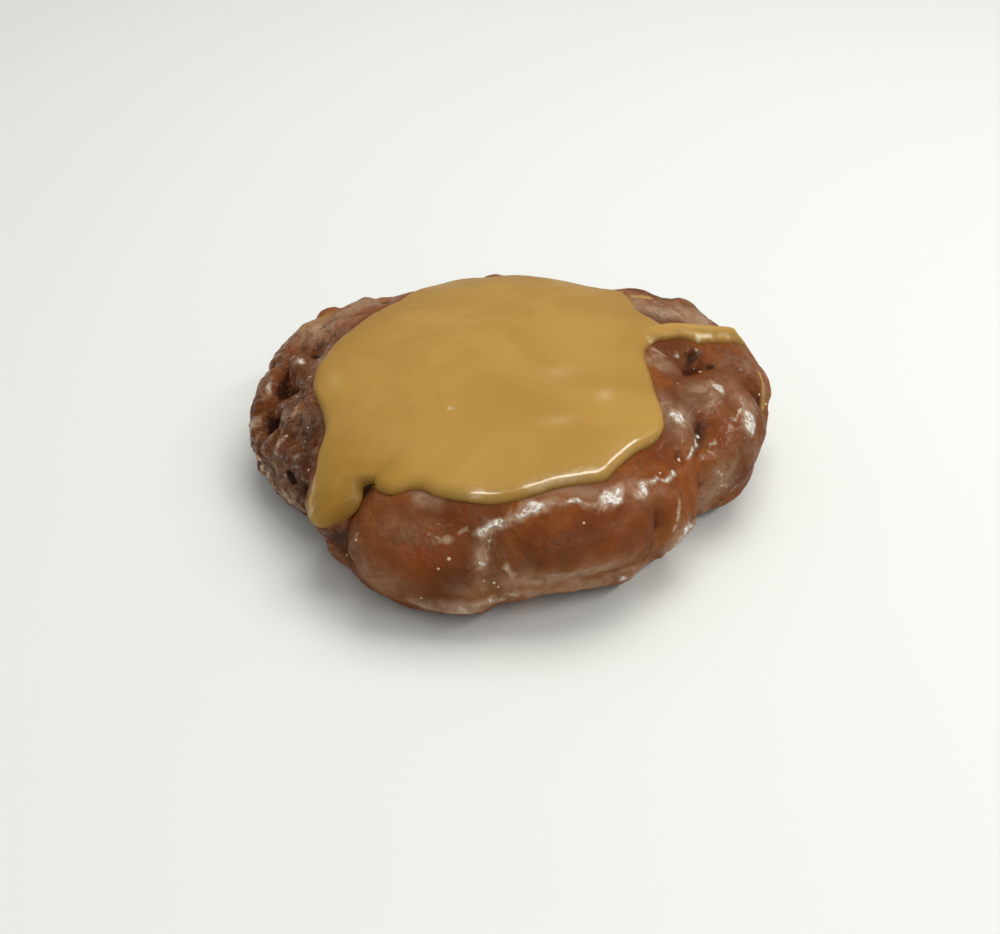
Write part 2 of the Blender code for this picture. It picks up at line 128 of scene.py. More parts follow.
def objectPlace(tree):
    return tree.nodes.new("ShaderNodeTexCoord").outputs["Object"]


def noiseOf(tree, place, size, detail=3.0, rough=0.55, warp=0.0):
    node = tree.nodes.new("ShaderNodeTexNoise")
    tree.links.new(place, node.inputs["Vector"])
    node.inputs["Scale"].default_value = 1.0 / (size * mm)
    node.inputs["Detail"].default_value = detail
    node.inputs["Roughness"].default_value = rough
    node.inputs["Distortion"].default_value = warp
    return node.outputs["Fac"]


def dotsOf(tree, place, gap):
    # how far each place lies from the nearest of many scattered dots, as a share of the gap between them
    node = tree.nodes.new("ShaderNodeTexVoronoi")
    node.feature = "F1"
    tree.links.new(place, node.inputs["Vector"])
    node.inputs["Scale"].default_value = 1.0 / (gap * mm)
    return node.outputs["Distance"]


def painted(tree, name):
    node = tree.nodes.new("ShaderNodeAttribute")
    node.attribute_name = name
    return node.outputs["Fac"]


def between(tree, value, low, high, start=0.0, end=1.0):
    # goes softly from start to end as the value goes from low to high
    node = tree.nodes.new("ShaderNodeMapRange")
    node.interpolation_type = "SMOOTHSTEP"
    wire(tree, value, node.inputs["Value"])
    for socket, number in zip(("From Min", "From Max", "To Min", "To Max"), (low, high, start, end)):
        node.inputs[socket].default_value = number
    return node.outputs["Result"]


def calculated(tree, operation, *values):
    node = tree.nodes.new("ShaderNodeMath")
    node.operation = operation
    for value, socket in zip(values, node.inputs):
        wire(tree, value, socket)
    return node.outputs["Value"]


def times(tree, value, *others):
    for other in others:
        value = calculated(tree, "MULTIPLY", value, other)
    return value


def largest(tree, value, *others):
    for other in others:
        value = calculated(tree, "MAXIMUM", value, other)
    return value


def swing(tree, value, amount):
    # a noise about a half becomes one about nought, and is scaled
    return times(tree, calculated(tree, "SUBTRACT", value, 0.5), amount)


def blended(tree, share, first, second):
    node = tree.nodes.new("ShaderNodeMix")
    node.data_type = "RGBA"
    wire(tree, share, node.inputs["Factor"])
    wire(tree, first, node.inputs[6])  # sockets 6, 7 and 2 are the colours A, B and the result
    wire(tree, second, node.inputs[7])
    return node.outputs[2]


def layered(tree, colour, layers):
    # each layer, a share and its colour, is laid over those before it
    for share, over in layers:
        colour = blended(tree, share, colour, over)
    return colour


def bumped(tree, height, deep, strength, under=None):
    node = tree.nodes.new("ShaderNodeBump")
    node.inputs["Strength"].default_value = strength
    node.inputs["Distance"].default_value = deep * mm
    tree.links.new(height, node.inputs["Height"])
    if under is not None:
        tree.links.new(under, node.inputs["Normal"])
    return node.outputs["Normal"]


floorFinish, tree, shader = newMaterial("paleFloor", floorSockets)
grain = noiseOf(tree, objectPlace(tree), room["floorGrain"], detail=1.0)
shaded = tuple(room["floorShade"] * part for part in room["floorColour"])
wire(tree, blended(tree, grain, room["floorColour"], shaded), shader.inputs["Base Color"])
floor.data.materials.append(floorFinish)


# small helpers for meshes

mergeGap = 0.01  # a copied node's points nearer than this become one
weightSteps = 250  # a group's weights are rounded to these steps, so that equal ones go in together
levelTop = 0.05  # where a surface leans less than this, level means along x
shake = dict(seed=3, steps=((3.2, 1.1), (1.1, 0.6)))  # each step is a noise's size and its reach


def onlySelect(piece):
    bpy.ops.object.select_all(action="DESELECT")
    piece.select_set(True)
    bpy.context.view_layer.objects.active = piece


def applyAll(piece):
    # the vertex groups have done their work once the modifiers are applied
    onlySelect(piece)
    for modifier in list(piece.modifiers):
        bpy.ops.object.modifier_apply(modifier=modifier.name)
    piece.vertex_groups.clear()


def shadeSmooth(piece):
    onlySelect(piece)
    bpy.ops.object.shade_smooth()


def copyOfNode(nodeName, name):
    # the node's triangles are loose, so the copy is merged before anything else
    piece = bpy.data.objects.new(name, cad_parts[nodeName].data.copy())
    scene.collection.objects.link(piece)
    piece.data.materials.clear()
    onlySelect(piece)
    bpy.ops.object.mode_set(mode="EDIT")
    bpy.ops.mesh.select_all(action="SELECT")
    bpy.ops.mesh.remove_doubles(threshold=mergeGap * mm)
    bpy.ops.object.mode_set(mode="OBJECT")
    return piece


def reskin(piece, voxel, softSteps, softness=0.5):
    voxels = piece.modifiers.new("voxels", "REMESH")
    voxels.mode = "VOXEL"
    voxels.voxel_size = voxel * mm
    soften = piece.modifiers.new("soften", "SMOOTH")
    soften.factor = softness
    soften.iterations = softSteps
    applyAll(piece)


def readPoints(piece, what="co"):
    flat = np.empty(len(piece.data.vertices) * 3, np.float32)
    piece.data.vertices.foreach_get(what, flat)
    return flat.reshape(-1, 3).astype(float)


def movePoints(piece, points):
    piece.data.vertices.foreach_set("co", points.astype(np.float32).ravel())
    piece.data.update()


def treeOf(piece):
    return BVHTree.FromObject(piece, bpy.context.evaluated_depsgraph_get())


def ease(low, high, value):
    share = np.clip((value - low) / (high - low), 0.0, 1.0)
    return share * share * (3.0 - 2.0 * share)


def awayFrom(surface, points):
    # how far each point lies from a surface, in millimetres
    return np.array([surface.find_nearest(Vector(point))[3] for point in points]) / mm


def roundValues(values, points):
    # values set at even steps round the object, from its right side anticlockwise, read at each point
    azimuths = np.degrees(np.arctan2(points[:, 1], points[:, 0])) % 360.0
    turns = np.linspace(0.0, 360.0, len(values), endpoint=False)
    return np.interp(azimuths, turns, values, period=360.0)


def seenAt(surface, pixel):
    # the place of a surface that the camera sees at a pixel, or the nearest one just past its edge
    across, down = pixel[0] - view["width"] / 2, pixel[1] - view["height"] / 2
    ray = Vector((across, -down, -view["width"] * view["lens"] / view["sensor"])).normalized()
    ray.rotate(turned.to_3x3())
    spot, outward, _, _ = surface.ray_cast(eye, ray)
    if spot is None:
        spot, outward, _, _ = surface.find_nearest(eye - ray * eye.dot(ray))
    return spot, outward


def ruffled(points):
    # the same places shaken by small noises, so that what is painted there gets uneven edges
    noise.seed_set(shake["seed"])
    moved = []
    for at in points:
        moves = (noise.noise_vector(Vector(at) / (size * mm)) * reach * mm for size, reach in shake["steps"])
        moved.append(sum(moves, Vector()))
    return points + np.array(moved)


def spotted(points, surface, spots):
    # soft oval spots on the surface, each set by a pixel; its turn is from level to upright
    total = np.zeros(len(points))
    for spot in spots.values():
        centre, outward = seenAt(surface, spot["at"])
        level = outward.cross(Vector((0, 0, 1)))
        level = level.normalized() if level.length > levelTop else Vector((1, 0, 0))
        steep = outward.cross(level)
        turn = math.radians(spot.get("turn", 0.0))
        along = level * math.cos(turn) + steep * math.sin(turn)
        across = steep * math.cos(turn) - level * math.sin(turn)
        long, short = (half * mm for half in spot["half"])
        away = points - np.array(centre)
        axes = ((along, long), (across, short), (outward, long))
        far = sum((away @ np.array(axis) / half) ** 2 for axis, half in axes)
        total = np.maximum(total, spot["amount"] * np.exp(-far))
    return total


def traced(points, surface, lines, finer=4, tiny=1e-12):
    # soft lines laid along the surface through a few pixels, with finer steps between them
    total = np.zeros(len(points))
    for line in lines.values():
        stops = [Vector(pixel) for pixel in line["through"]]
        pixels = [a.lerp(b, step / finer) for a, b in zip(stops, stops[1:]) for step in range(finer)]
        laid = [np.array(seenAt(surface, pixel)[0]) for pixel in pixels + stops[-1:]]
        nearest = np.full(len(points), np.inf)
        for start, end in zip(laid, laid[1:]):
            side = end - start
            share = np.clip((points - start) @ side / max(side @ side, tiny), 0.0, 1.0)
            nearest = np.minimum(nearest, np.linalg.norm(points - start - share[:, None] * side, axis=1))
        total = np.maximum(total, line["amount"] * np.exp(-((nearest / (line["width"] * mm)) ** 2)))
    return total


def marked(points, surface, spots, lines):
    return np.maximum(spotted(points, surface, spots), traced(points, surface, lines))


def paintGroup(piece, name, weights):
    group = piece.vertex_groups.new(name=name)
    levels = np.round(np.clip(weights, 0.0, 1.0) * weightSteps) / weightSteps
    for level in np.unique(levels[levels > 0.0]):
        group.add(np.flatnonzero(levels == level).tolist(), float(level), "REPLACE")


def paintPoints(piece, name, values):
    layer = piece.data.attributes.new(name, "FLOAT", "POINT")
    layer.data.foreach_set("value", values.astype(np.float32))


def pushOut(piece, name, height, group, kind=None, size=None, middle=0.5, **settings):
    # moves the surface along its normals, by a texture where one is named
    push = piece.modifiers.new(name, "DISPLACE")
    push.strength = height * mm
    push.vertex_group = group
    push.mid_level = middle if kind else 0.0
    if kind:
        texture = bpy.data.textures.new(name, kind)
        texture.noise_scale = size * mm
        for setting, value in settings.items():
            setattr(texture, setting, value)
        push.texture = texture
        push.texture_coords = "LOCAL"


def hollowness(piece, steps):
    # how far each point lies below the surface smoothed over, in millimetres
    edges = np.empty(len(piece.data.edges) * 2, np.int32)
    piece.data.edges.foreach_get("vertices", edges)
    a, b = edges.reshape(-1, 2).T
    points, normals = readPoints(piece), readPoints(piece, "normal")
    count = len(points)
    near = np.bincount(a, minlength=count) + np.bincount(b, minlength=count)
    smooth = points.copy()
    for _ in range(steps):
        total = np.stack([
            np.bincount(a, smooth[b, i], count) + np.bincount(b, smooth[a, i], count) for i in range(3)
        ], axis=1)
        smooth = total / near[:, None]
    return ((smooth - points) * normals).sum(axis=1) / mm


# the dough: the fried crust with its film of clear and milky glaze

# heights, depths and sizes in millimetres; a span is where something begins and where it is full
dough = dict(
    voxel=0.56,
    fineVoxel=0.46,
    smoothSteps=3,
    fineSteps=1,
    hiddenKept=0.68,
    hiddenWeight=10.0,
    hiddenReach=4.0,
    baseHeight=0.3,
    flatHeight=0.25,
    bareSpan=(0.6, 2.6),
    aboveSpan=(1.0, 5.0),
    seamSpan=(0.5, 4.5),
    craggy=(0.40, 0.35, 0.35, 0.35, 0.25, 0.40, 1.0, 1.0, 0.22, 0.10, 0.12, 0.35),
    film=(0.60, 0.60, 0.70, 0.60, 0.60, 0.50, 0.30, 0.35, 0.20, 0.08, 0.12, 0.45),
    rise=0.30,
    seamRise=0.60,
    wrinkleSize=3.0,
    wrinkleHeight=0.75,
    foldSize=7.0,
    foldHeight=0.5,
    pebbleSize=1.4,
    pebbleHeight=0.55,
    swellSize=7.0,
    swellHeight=0.35,
    grainSize=1.0,
    grainHeight=0.08,
    sunkSize=2.4,
    sunkDepth=3.4,
    raisedSize=1.8,
    raisedHeight=1.8,
    tuckDepth=1.9,
    nearSteps=14,
    wideSteps=70,
    wideShare=0.35,
    smearShake=0.4,
)
# the shapes are set where the photograph shows them, by pixel; half lengths and widths are millimetres
pits = {
    "leftSlot": dict(at=(272, 427), amount=0.6, half=(3.4, 1.3), turn=5),
    "leftHollow": dict(at=(283, 388), amount=0.35, half=(3.0, 2.6)),
    "leftDimple": dict(at=(305, 346), amount=0.30, half=(2.0, 1.3)),
    "leftDimpleSmall": dict(at=(290, 352), amount=0.22, half=(1.4, 1.0)),
    "plateauPit": dict(at=(313, 445), amount=0.40, half=(2.0, 1.1), turn=60),
    "lowPit": dict(at=(292, 478), amount=0.60, half=(1.9, 1.2), turn=-30),
    "lowSlot": dict(at=(304, 487), amount=0.50, half=(2.6, 0.9), turn=-60),
    "tonguePit": dict(at=(338, 533), amount=0.75, half=(2.4, 1.8)),
    "craterFloor": dict(at=(691, 358), amount=0.40, half=(2.4, 0.9), turn=-10),
    "craterEnd": dict(at=(710, 368), amount=0.35, half=(1.2, 0.8)),
    "rightPit": dict(at=(696, 427), amount=0.12, half=(2.2, 1.3)),
    "rightNick": dict(at=(678, 458), amount=0.30, half=(1.6, 0.8)),
    "edgeSlot": dict(at=(759, 400), amount=0.22, half=(2.4, 0.8), turn=-60),
}
creases = {
    "rollEnd": dict(through=((657, 503), (656, 522), (651, 543), (646, 562)), amount=0.28, width=0.7),
    "diagonal": dict(through=((542, 545), (531, 562), (519, 579)), amount=0.16, width=1.2),
    "underFold": dict(through=((580, 574), (605, 568), (640, 562)), amount=0.20, width=0.8),
    "valley": dict(through=((489, 545), (487, 560), (484, 577)), amount=0.12, width=1.3),
    "lobeEdge": dict(through=((692, 492), (690, 504), (684, 515)), amount=0.12, width=1.0),
    "shoulder": dict(through=((532, 519), (556, 519), (578, 520), (600, 516), (622, 510)),
                     amount=0.24, width=2.0),
}
leftRidge = ((300, 405), (294, 416), (286, 428), (280, 441), (276, 454))  # raised here and white below
ridges = {
    "leftPale": dict(through=leftRidge, amount=0.70, width=0.7),
    "leftLow": dict(through=((263, 467), (270, 478), (281, 491)), amount=0.50, width=0.7),
    "hollowRim": dict(through=((264, 384), (260, 398), (256, 412)), amount=0.40, width=0.9),
    "craterBrow": dict(through=((676, 354), (688, 350), (700, 352)), amount=0.45, width=0.7),
    "whitePatch": dict(through=((743, 411), (751, 419), (746, 431)), amount=0.30, width=0.9),
    "lipLeft": dict(through=((441, 610), (470, 610), (493, 600), (519, 592)), amount=0.55, width=0.8),
    "lipRight": dict(through=((621, 580), (645, 570), (659, 562), (672, 548), (683, 533), (693, 523)),
                     amount=0.50, width=0.7),
    "lobeFill": dict(through=((690, 458), (695, 472), (697, 488)), amount=0.28, width=1.8),
    "foldLip": dict(through=((543, 571), (562, 569), (580, 570)), amount=0.30, width=0.6),
}
bumps = {
    "backLeftCorner": dict(at=(284, 331), amount=0.75, half=(4.0, 3.0)),
    "backLeftSide": dict(at=(268, 360), amount=0.50, half=(4.0, 3.0)),
    "tongueFoot": dict(at=(320, 543), amount=0.80, half=(4.0, 3.0)),
    "rightShoulder": dict(at=(752, 346), amount=0.60, half=(5.0, 3.0)),
    "rightEdge": dict(at=(768, 405), amount=0.45, half=(2.0, 5.0)),
}
# the front of the base runs in under the roll
tucks = {
    "frontBase": dict(through=((512, 603), (530, 600), (560, 596), (590, 590), (612, 584)),
                      amount=0.88, width=4.0),
    "endBase": dict(through=((630, 577), (650, 565), (672, 552)), amount=0.50, width=4.0),
    "rightBase": dict(through=((690, 532), (702, 515), (715, 508), (732, 492)), amount=1.0, width=4.6),
}


def crustShares(points, away):
    # how far each point is clear of the base, bare of the icing as well, and craggy as well
    above = ease(*dough["aboveSpan"], points[:, 2] / mm)
    bare = ease(*dough["bareSpan"], away)
    return above, bare * above, roundValues(dough["craggy"], points) * bare * above


doughTree, icingTree = treeOf(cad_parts["dough"]), treeOf(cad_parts["icing"])
skin = copyOfNode("dough", "doughCrust")
reskin(skin, dough["voxel"], dough["smoothSteps"])
points, surface = readPoints(skin), treeOf(skin)
away = awayFrom(icingTree, points)
above, bare, craggy = crustShares(points, away)
paintGroup(skin, "craggy", craggy)
paintGroup(skin, "bare", bare)
paintGroup(skin, "above", above)
paintGroup(skin, "seam", 1.0 - ease(*dough["seamSpan"], away))
paintGroup(skin, "sunk", marked(points, surface, pits, creases) * above)
paintGroup(skin, "raised", marked(points, surface, bumps, ridges))
paintGroup(skin, "tuck", traced(points, surface, tucks))
pushOut(skin, "tuck", -dough["tuckDepth"], "tuck")
pushOut(skin, "rise", dough["rise"], "above")
pushOut(skin, "seamRise", dough["seamRise"], "seam")
pushOut(skin, "swells", dough["swellHeight"], "bare", "CLOUDS", dough["swellSize"], noise_depth=1)
pushOut(skin, "folds", dough["foldHeight"], "craggy", "MUSGRAVE", dough["foldSize"],
        musgrave_type="RIDGED_MULTIFRACTAL", noise_intensity=0.6, middle=0.45)
pushOut(skin, "wrinkles", dough["wrinkleHeight"], "craggy", "VORONOI", dough["wrinkleSize"],
        weight_1=-1.0, weight_2=1.0, noise_intensity=1.2, middle=0.35)
pushOut(skin, "sunk", -dough["sunkDepth"], "sunk", "CLOUDS", dough["sunkSize"], noise_depth=1, middle=0.0)
pushOut(skin, "raised", dough["raisedHeight"], "raised", "CLOUDS", dough["raisedSize"],
        noise_depth=1, middle=0.0)
applyAll(skin)
reskin(skin, dough["fineVoxel"], dough["fineSteps"])

# the base and what the icing covers keep fewer faces
points, normals = readPoints(skin), readPoints(skin, "normal")
reach = dough["hiddenReach"] * mm
hits = [icingTree.ray_cast(Vector(at), Vector(out), reach)[0] for at, out in zip(points, normals)]
covered = np.array([hit is not None for hit in hits])
paintGroup(skin, "hidden", covered | (points[:, 2] < dough["baseHeight"] * mm))
thinner = skin.modifiers.new("thinner", "DECIMATE")
thinner.ratio = dough["hiddenKept"]
thinner.vertex_group = "hidden"
thinner.vertex_group_factor = dough["hiddenWeight"]
applyAll(skin)

points = readPoints(skin)
_, bare, craggy = crustShares(points, awayFrom(icingTree, points))
paintGroup(skin, "craggy", craggy)
paintGroup(skin, "bare", bare)
pushOut(skin, "pebbles", dough["pebbleHeight"], "craggy", "VORONOI", dough["pebbleSize"],
        weight_1=-1.0, weight_2=1.0, noise_intensity=1.2, middle=0.35)
pushOut(skin, "grain", dough["grainHeight"], "bare", "CLOUDS", dough["grainSize"], noise_depth=1)
applyAll(skin)
points = readPoints(skin)
points[:, 2] = np.where(points[:, 2] < dough["flatHeight"] * mm, 0.0, points[:, 2])
movePoints(skin, points)
print("dough crust shaped:", len(skin.data.polygons), "faces")

# what the material reads: where the glaze lies white or milky, with painted highlights and painted light
# among them, and where the crust is dark, with painted shade in its pits and creases, or red or smeared
# white glaze and painted highlights: the ring spots, the strip along the roll's shoulder, the crackled
# patch, the valley spot, the glints on the left crags, the brow and the white spots on the right stand
# partly for gloss catching the light
glazeAndHighlightSpots = {
    "ringBlot": dict(at=(446, 541), amount=0.78, half=(2.4, 1.2)),
    "ringDot": dict(at=(438, 537), amount=1.00, half=(0.8, 0.5), turn=-30),
    "ringBright": dict(at=(463, 531), amount=0.90, half=(1.0, 0.9)),
    "valleySpot": dict(at=(483, 563), amount=1.05, half=(1.3, 0.8)),
    "stripStart": dict(at=(491, 526), amount=1.25, half=(3.6, 0.9), turn=28),
    "stripMiddle": dict(at=(531, 509), amount=1.15, half=(4.2, 1.0), turn=24),
    "stripSecond": dict(at=(576, 503), amount=1.10, half=(3.0, 0.9), turn=-5),
    "crackled": dict(at=(612, 496), amount=1.20, half=(4.3, 1.7), turn=15),
    "crackledEnd": dict(at=(641, 487), amount=1.15, half=(2.4, 1.2), turn=15),
    "besideIcing": dict(at=(662, 410), amount=0.70, half=(1.2, 0.9)),
    "rightPale": dict(at=(677, 417), amount=1.05, half=(1.7, 2.6), turn=-20),
    "rightWhite": dict(at=(719, 386), amount=1.15, half=(1.5, 2.5), turn=-60),
    "rightPatch": dict(at=(751, 421), amount=1.25, half=(3.4, 2.4), turn=15),
    "rightPatchUpper": dict(at=(748, 412), amount=1.00, half=(1.2, 1.0)),
    "browLeft": dict(at=(676, 353), amount=1.00, half=(0.9, 0.9)),
    "browRight": dict(at=(696, 352), amount=1.20, half=(0.6, 0.6)),
    "leftLobe": dict(at=(251, 424), amount=0.70, half=(2.2, 3.4), turn=90),
    "leftGlint": dict(at=(300, 361), amount=0.95, half=(1.6, 0.8), turn=10),
    "hollowGlint": dict(at=(302, 383), amount=0.90, half=(2.0, 0.6), turn=75),
    "rimGlint": dict(at=(269, 389), amount=0.95, half=(1.4, 0.7), turn=80),
    "slotGlint": dict(at=(284, 418), amount=1.00, half=(0.8, 0.4), turn=80),
    "sideWall": dict(at=(757, 440), amount=0.42, half=(4.0, 1.6), turn=80),
    "flake": dict(at=(355, 538), amount=0.60, half=(1.4, 0.8)),
}
# the strip and its right run, the ring arc, the crack tail, the cream line at the back left and the streaks
# on the right are partly painted highlights
glazeAndHighlightLines = {
    "leftCream": dict(through=((318, 323), (323, 321), (328, 319)), amount=0.95, width=0.45),
    "ringArc": dict(through=((426, 543), (428, 533), (437, 526), (451, 524)), amount=0.42, width=0.5),
    "valleyMilk": dict(through=((490, 543), (488, 556), (485, 568)), amount=0.70, width=1.3),
    "midMilk": dict(through=((507, 566), (515, 575), (514, 587)), amount=0.75, width=1.1),
    "strip": dict(through=((481, 534), (491, 527), (505, 521), (520, 514), (536, 508), (551, 501)),
                  amount=0.66, width=1.7),
    "stripRight": dict(through=((551, 501), (563, 502), (575, 504), (600, 504)), amount=0.60, width=1.7),
    "crackTail": dict(through=((653, 484), (662, 479), (676, 473)), amount=1.00, width=0.6),
    "lowBand": dict(through=((523, 590), (547, 588), (572, 584), (602, 579), (626, 573), (645, 566)),
                    amount=0.50, width=2.6),
    "lipLeft": dict(through=((425, 606), (441, 611), (470, 611), (493, 602), (519, 594)),
                    amount=0.74, width=1.3),
    "lipRight": dict(through=((621, 581), (645, 571), (659, 563), (672, 549), (683, 534), (693, 523)),
                     amount=0.98, width=1.0),
    "sideWhite": dict(through=((716, 489), (724, 487), (733, 490), (740, 484)), amount=0.85, width=0.7),
    "sideBloom": dict(through=((718, 474), (722, 480)), amount=0.80, width=0.9),
    "notchWhite": dict(through=((679, 500), (681, 515), (676, 530)), amount=0.85, width=0.9),
    "streakLow": dict(through=((687, 457), (693, 448), (700, 440)), amount=1.15, width=0.8),
    "streakMid": dict(through=((711, 453), (716, 443)), amount=1.25, width=0.6),
    "streakUp": dict(through=((728, 429), (735, 420), (742, 409), (742, 400)), amount=1.00, width=0.5),
    "leftRidge": dict(through=leftRidge, amount=0.72, width=0.6),
    "leftStreak": dict(through=((299, 450), (296, 462), (299, 472)), amount=0.45, width=0.7),
    "leftLow": dict(through=((263, 467), (270, 478), (281, 491), (288, 500)), amount=0.85, width=0.8),
    "footStreak": dict(through=((290, 500), (300, 507), (309, 515)), amount=0.70, width=0.9),
}
# milky glaze, and painted light in a few spots: footEnd is a painted pool of light on the roll's lower end,
# secondBump a painted highlight, and plateau and innerRight are partly painted sheen over milky glaze
milkAndLightSpots = {
    "plateau": dict(at=(666, 312), amount=1.0, half=(9.0, 4.5)),
    "plateauRight": dict(at=(702, 322), amount=0.85, half=(7.0, 3.0)),
    "leftUpper": dict(at=(318, 330), amount=0.86, half=(7.0, 4.0)),
    "leftBack": dict(at=(360, 305), amount=0.75, half=(9.0, 3.0)),
    "leftCorner": dict(at=(297, 331), amount=0.45, half=(4.0, 4.0)),
    "leftShelf": dict(at=(322, 362), amount=0.55, half=(2.4, 4.0), turn=90),
    "leftKnob": dict(at=(303, 422), amount=0.42, half=(3.6, 5.0), turn=90),
    "lowLeft": dict(at=(284, 478), amount=0.40, half=(5.0, 5.0)),
    "veil": dict(at=(570, 575), amount=0.95, half=(9.0, 2.6), turn=6),
    "veilLeft": dict(at=(533, 581), amount=0.85, half=(4.4, 2.2)),
    "veilRight": dict(at=(622, 572), amount=0.55, half=(5.0, 1.4)),
    "footLeft": dict(at=(452, 606), amount=0.50, half=(8.0, 1.2)),
    "valleyFoot": dict(at=(474, 590), amount=0.42, half=(3.6, 2.4)),
    "innerRight": dict(at=(674, 416), amount=0.72, half=(3.6, 5.0)),
    "midRight": dict(at=(705, 390), amount=0.56, half=(4.6, 3.4)),
    "upRight": dict(at=(728, 388), amount=0.34, half=(4.0, 3.4)),
    "rightSide": dict(at=(745, 404), amount=0.58, half=(3.0, 3.4)),
    "sideLow": dict(at=(722, 480), amount=0.62, half=(4.0, 5.0)),
    "rightUp": dict(at=(730, 362), amount=0.20, half=(5.0, 3.0)),
    "rightLow": dict(at=(748, 448), amount=0.15, half=(3.0, 5.0)),
    "underBead": dict(at=(590, 490), amount=0.50, half=(12.0, 1.8), turn=-12),
    "valley": dict(at=(485, 552), amount=0.60, half=(4.4, 1.6), turn=90),
    "leftFace": dict(at=(398, 530), amount=0.15, half=(6.0, 4.0)),
    "footEnd": dict(at=(376, 578), amount=0.40, half=(8.0, 3.6), turn=-25),
    "veilEnd": dict(at=(508, 584), amount=0.55, half=(3.6, 2.6)),
    "leftRim": dict(at=(262, 383), amount=0.40, half=(3.0, 3.0)),
    "notch": dict(at=(704, 499), amount=0.80, half=(3.2, 4.4)),
    "besideIcing": dict(at=(657, 362), amount=0.60, half=(2.0, 4.0)),
    "secondBump": dict(at=(425, 497), amount=0.70, half=(2.6, 1.6)),
}
milkLines = {
    "flange": dict(through=((632, 577), (650, 567), (664, 557), (676, 545), (687, 531)),
                   amount=0.90, width=2.2),
    "frontLip": dict(through=((415, 602), (430, 607), (446, 610), (470, 610), (490, 603)),
                     amount=0.88, width=1.4),
    "lowLip": dict(through=((505, 597), (520, 593), (545, 592), (575, 588), (605, 583)),
                   amount=0.65, width=1.6),
}
# darker crust, and painted shade: the spots in the slot, beside the hollow, in the crater, the pits, the
# nick, the edge slot, the notch and beside the tongue, along the diagonal crease and under the tucks are
# painted shade
darkAndShadeSpots = {
    "slot": dict(at=(273, 427), amount=1.0, half=(3.0, 1.6)),
    "plateau": dict(at=(312, 432), amount=0.60, half=(2.6, 4.6)),
    "plateauLow": dict(at=(303, 456), amount=0.60, half=(3.0, 3.0)),
    "lowLeft": dict(at=(268, 476), amount=0.60, half=(3.0, 4.0)),
    "lowMid": dict(at=(300, 495), amount=0.70, half=(3.0, 4.0)),
    "hollowSide": dict(at=(290, 408), amount=0.60, half=(2.0, 3.0)),
    "tongueSide": dict(at=(339, 537), amount=1.0, half=(4.6, 3.6)),
    "tongueNotch": dict(at=(370, 491), amount=1.0, half=(2.4, 2.0)),
    "tongueFoot": dict(at=(350, 556), amount=0.35, half=(3.0, 3.4)),
    "crater": dict(at=(693, 359), amount=0.85, half=(3.0, 1.2), turn=-10),
    "rightPit": dict(at=(696, 428), amount=0.50, half=(2.4, 1.4)),
    "rightNick": dict(at=(678, 460), amount=0.80, half=(1.5, 1.0)),
    "edgeSlot": dict(at=(759, 401), amount=0.80, half=(2.2, 0.7), turn=-60),
    "rollCentre": dict(at=(580, 543), amount=0.48, half=(10.0, 4.0), turn=10),
    "rollTop": dict(at=(560, 522), amount=0.22, half=(9.0, 2.4), turn=10),
    "rollEndSide": dict(at=(650, 520), amount=0.20, half=(4.0, 6.0)),
    "rollRight": dict(at=(630, 534), amount=0.34, half=(5.0, 4.0)),
    "underCrackle": dict(at=(617, 517), amount=0.42, half=(5.6, 1.7), turn=10),
    "rightSide": dict(at=(742, 464), amount=0.46, half=(5.0, 8.0), turn=10),
    "rightUp": dict(at=(735, 360), amount=0.56, half=(7.0, 5.0)),
    "rightValley": dict(at=(699, 430), amount=0.55, half=(3.0, 2.0), turn=-20),
    "frontLow": dict(at=(456, 580), amount=0.30, half=(3.8, 2.2)),
    "frontFoot": dict(at=(430, 592), amount=0.18, half=(4.0, 2.0)),
    "diagonal": dict(at=(528, 563), amount=0.40, half=(3.4, 1.4), turn=60),
    "underTuck": dict(at=(610, 569), amount=0.50, half=(5.0, 0.8)),
    "endTuck": dict(at=(651, 545), amount=0.50, half=(3.0, 0.8), turn=75),
}
redSpots = {
    "leftBright": dict(at=(276, 414), amount=1.0, half=(1.0, 1.8)),
    "leftHollow": dict(at=(284, 382), amount=0.60, half=(3.6, 2.4)),
    "leftDimple": dict(at=(305, 346), amount=0.70, half=(2.2, 1.2)),
    "leftDimpleSmall": dict(at=(290, 352), amount=0.50, half=(1.4, 1.0)),
    "crater": dict(at=(700, 367), amount=0.95, half=(4.2, 1.6), turn=-10),
    "rightWall": dict(at=(729, 440), amount=0.60, half=(3.4, 3.0)),
    "pitWall": dict(at=(704, 430), amount=0.60, half=(2.4, 1.6)),
    "rightNear": dict(at=(688, 478), amount=0.30, half=(6.0, 3.4)),
    "frontRight": dict(at=(600, 540), amount=0.52, half=(11.0, 4.4)),
    "frontLeft": dict(at=(412, 560), amount=0.60, half=(7.0, 5.0)),
    "rollRight": dict(at=(630, 530), amount=0.60, half=(5.4, 4.6)),
    "underCrackle": dict(at=(615, 516), amount=0.50, half=(6.0, 1.8), turn=10),
    "rollEnd": dict(at=(672, 500), amount=0.45, half=(2.6, 4.0)),
    "backKnob": dict(at=(677, 299), amount=0.60, half=(1.6, 1.0)),
}
smears = {
    "backLeft": dict(through=((303, 328), (315, 320), (330, 315)), amount=0.42, width=2.6),
    "backRight": dict(through=((634, 297), (642, 297), (650, 298)), amount=1.0, width=0.6),
    "rightEdge": dict(through=((760, 374), (763, 384), (764, 396), (763, 407)), amount=0.75, width=0.8),
}
points, surface = readPoints(skin), treeOf(skin)
shaken = ruffled(points)
barelyShaken = points * (1.0 - dough["smearShake"]) + shaken * dough["smearShake"]
wideHollows = dough["wideShare"] * hollowness(skin, dough["wideSteps"])
paintPoints(skin, "hollow", hollowness(skin, dough["nearSteps"]) + wideHollows)
